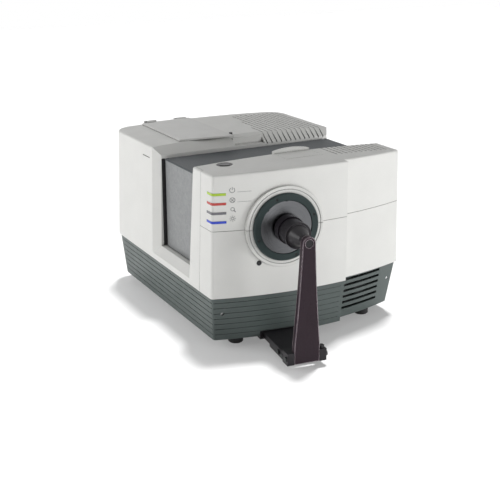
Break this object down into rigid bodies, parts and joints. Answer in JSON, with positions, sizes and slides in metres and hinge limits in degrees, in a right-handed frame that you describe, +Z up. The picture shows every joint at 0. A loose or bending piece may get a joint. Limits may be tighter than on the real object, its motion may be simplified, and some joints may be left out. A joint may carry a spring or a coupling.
{
  "type": "colorimeter",
  "caption": "Benchtop sphere colorimeter with a front sample port and swing-down sample clamp, a lift-off compartment cover, lamp lid and viewer door",
  "frame": {"origin": "on the bench below the middle of the whole outline", "axes": "+Z up, the front looks towards -Y, +X to the right seen from the front"},
  "size_m": [0.4548, 0.6644, 0.3755],
  "materials": {
    "white_housing": "fine textured moulding",
    "grey_top": "fine textured moulding",
    "base_green": "textured moulding with fine ribs",
    "ring_green": "satin",
    "port_metal": "turned",
    "screw_steel": "zinc plated",
    "foot_rubber": "moulded",
    "liner_black": "matt black paint",
    "cover_grey": "textured paint",
    "flap_grey": "satin speckled paint",
    "spring_steel": "drawn wire",
    "black_plastic": "fine grain",
    "indicator_green": "moulded",
    "indicator_red": "moulded",
    "indicator_grey": "moulded",
    "indicator_blue": "moulded",
    "bare_aluminium": "as machined",
    "black_metal": "black anodised",
    "optical_glass": "polished",
    "lamp_ceramic": "ceramic",
    "circuit_green": "solder mask",
    "arm_finish": "dark satin anodised, bevelled edges",
    "pad_black": "smooth"
  },
  "bodies": {
    "instrument": {"rear_housing": "white_housing", "front_cover_upper": "white_housing", "front_cover_lower": "white_housing", "base_tray": "base_green", "port_ring": "ring_green", "port_plate": "port_metal", "port_screws": "screw_steel", "front_screws": "screw_steel", "foot_screws": "screw_steel", "lid_hinge_pins": "screw_steel", "viewer_hinge_pins": "screw_steel", "switch_pin": "screw_steel", "feet": "foot_rubber", "compartment_liner": "liner_black", "button_bezel": "black_plastic", "accessory_plug": "black_plastic", "lid_catch": "black_plastic", "connector_panel": "black_plastic", "power_inlet": "black_plastic", "data_socket": "black_plastic", "fan_frame": "black_plastic", "indicator_green": "indicator_green", "indicator_red": "indicator_red", "indicator_grey": "indicator_grey", "indicator_blue": "indicator_blue", "sphere_front_half": "bare_aluminium", "sphere_rear_half": "bare_aluminium", "sphere_bracket": "bare_aluminium", "optics_deck": "bare_aluminium", "deck_posts": "bare_aluminium", "power_supply": "bare_aluminium", "lamp_housing": "bare_aluminium", "lens_barrel": "black_metal", "spectrometer_box": "black_metal", "slide_channel": "black_metal", "lens_glass": "optical_glass", "lamp_lens": "optical_glass", "lamp_bulb": "optical_glass", "lamp_base": "lamp_ceramic", "main_board": "circuit_green"},
    "compartment_cover": {"cover_top": "cover_grey", "cover_flap_left": "flap_grey", "cover_flap_right": "flap_grey"},
    "lamp_lid": {"lamp_lid": "grey_top"},
    "viewer_door": {"viewer_door": "white_housing"},
    "read_button": {"read_button": "black_plastic", "button_spring": "spring_steel"},
    "clamp_carriage": {"clamp_carriage": "black_metal", "carriage_screws": "screw_steel", "stop_stud": "black_plastic", "arm_pin": "screw_steel"},
    "clamp_arm": {"clamp_arm": "arm_finish", "clamp_neck": "black_metal", "plunger_spring": "spring_steel"},
    "sample_pad": {"sample_pad": "pad_black"},
    "power_switch": {"power_switch": "black_plastic"},
    "fan_rotor": {"fan_rotor": "black_plastic"}
  },
  "joints": [
    {"name": "cover_lift", "type": "slide", "parent": "instrument", "child": "compartment_cover", "axis": [0, 0, 1], "range_m": [0, 0.2]},
    {"name": "lamp_lid_hinge", "type": "hinge", "parent": "instrument", "child": "lamp_lid", "pos_m": [-0.092, 0.32313, 0.3697], "axis": [-1, 0, 0], "range_deg": [0, 90]},
    {"name": "viewer_door_hinge", "type": "hinge", "parent": "instrument", "child": "viewer_door", "pos_m": [0.004, -0.14307, 0.36426], "axis": [1, 0, 0], "range_deg": [0, 90]},
    {"name": "read_button_press", "type": "slide", "parent": "instrument", "child": "read_button", "axis": [0, 0, -1], "range_m": [0, 0.002], "stiffness_N_per_m": 600, "springref_m": -0.001, "deforming": ["button_spring"]},
    {"name": "clamp_slide", "type": "slide", "parent": "instrument", "child": "clamp_carriage", "axis": [-0.1392, -0.9903, 0], "range_m": [0, 0.06]},
    {"name": "clamp_fold", "type": "hinge", "parent": "clamp_carriage", "child": "clamp_arm", "pos_m": [-0.09686, -0.32062, 0.024], "axis": [0.9903, -0.1392, 0], "range_deg": [0, 90]},
    {"name": "pad_press", "type": "slide", "parent": "clamp_arm", "child": "sample_pad", "axis": [-0.1392, -0.9903, 0], "range_m": [0, 0.012], "stiffness_N_per_m": 400, "springref_m": -0.004},
    {"name": "power_rocker", "type": "hinge", "parent": "instrument", "child": "power_switch", "pos_m": [0.1144, 0.31839, 0.06753], "axis": [-1, 0, 0], "range_deg": [0, 20]},
    {"name": "fan_spin", "type": "hinge", "parent": "instrument", "child": "fan_rotor", "pos_m": [0.1417, -0.14522, 0.064], "axis": [0, 1, 0], "continuous": true}
  ]
}
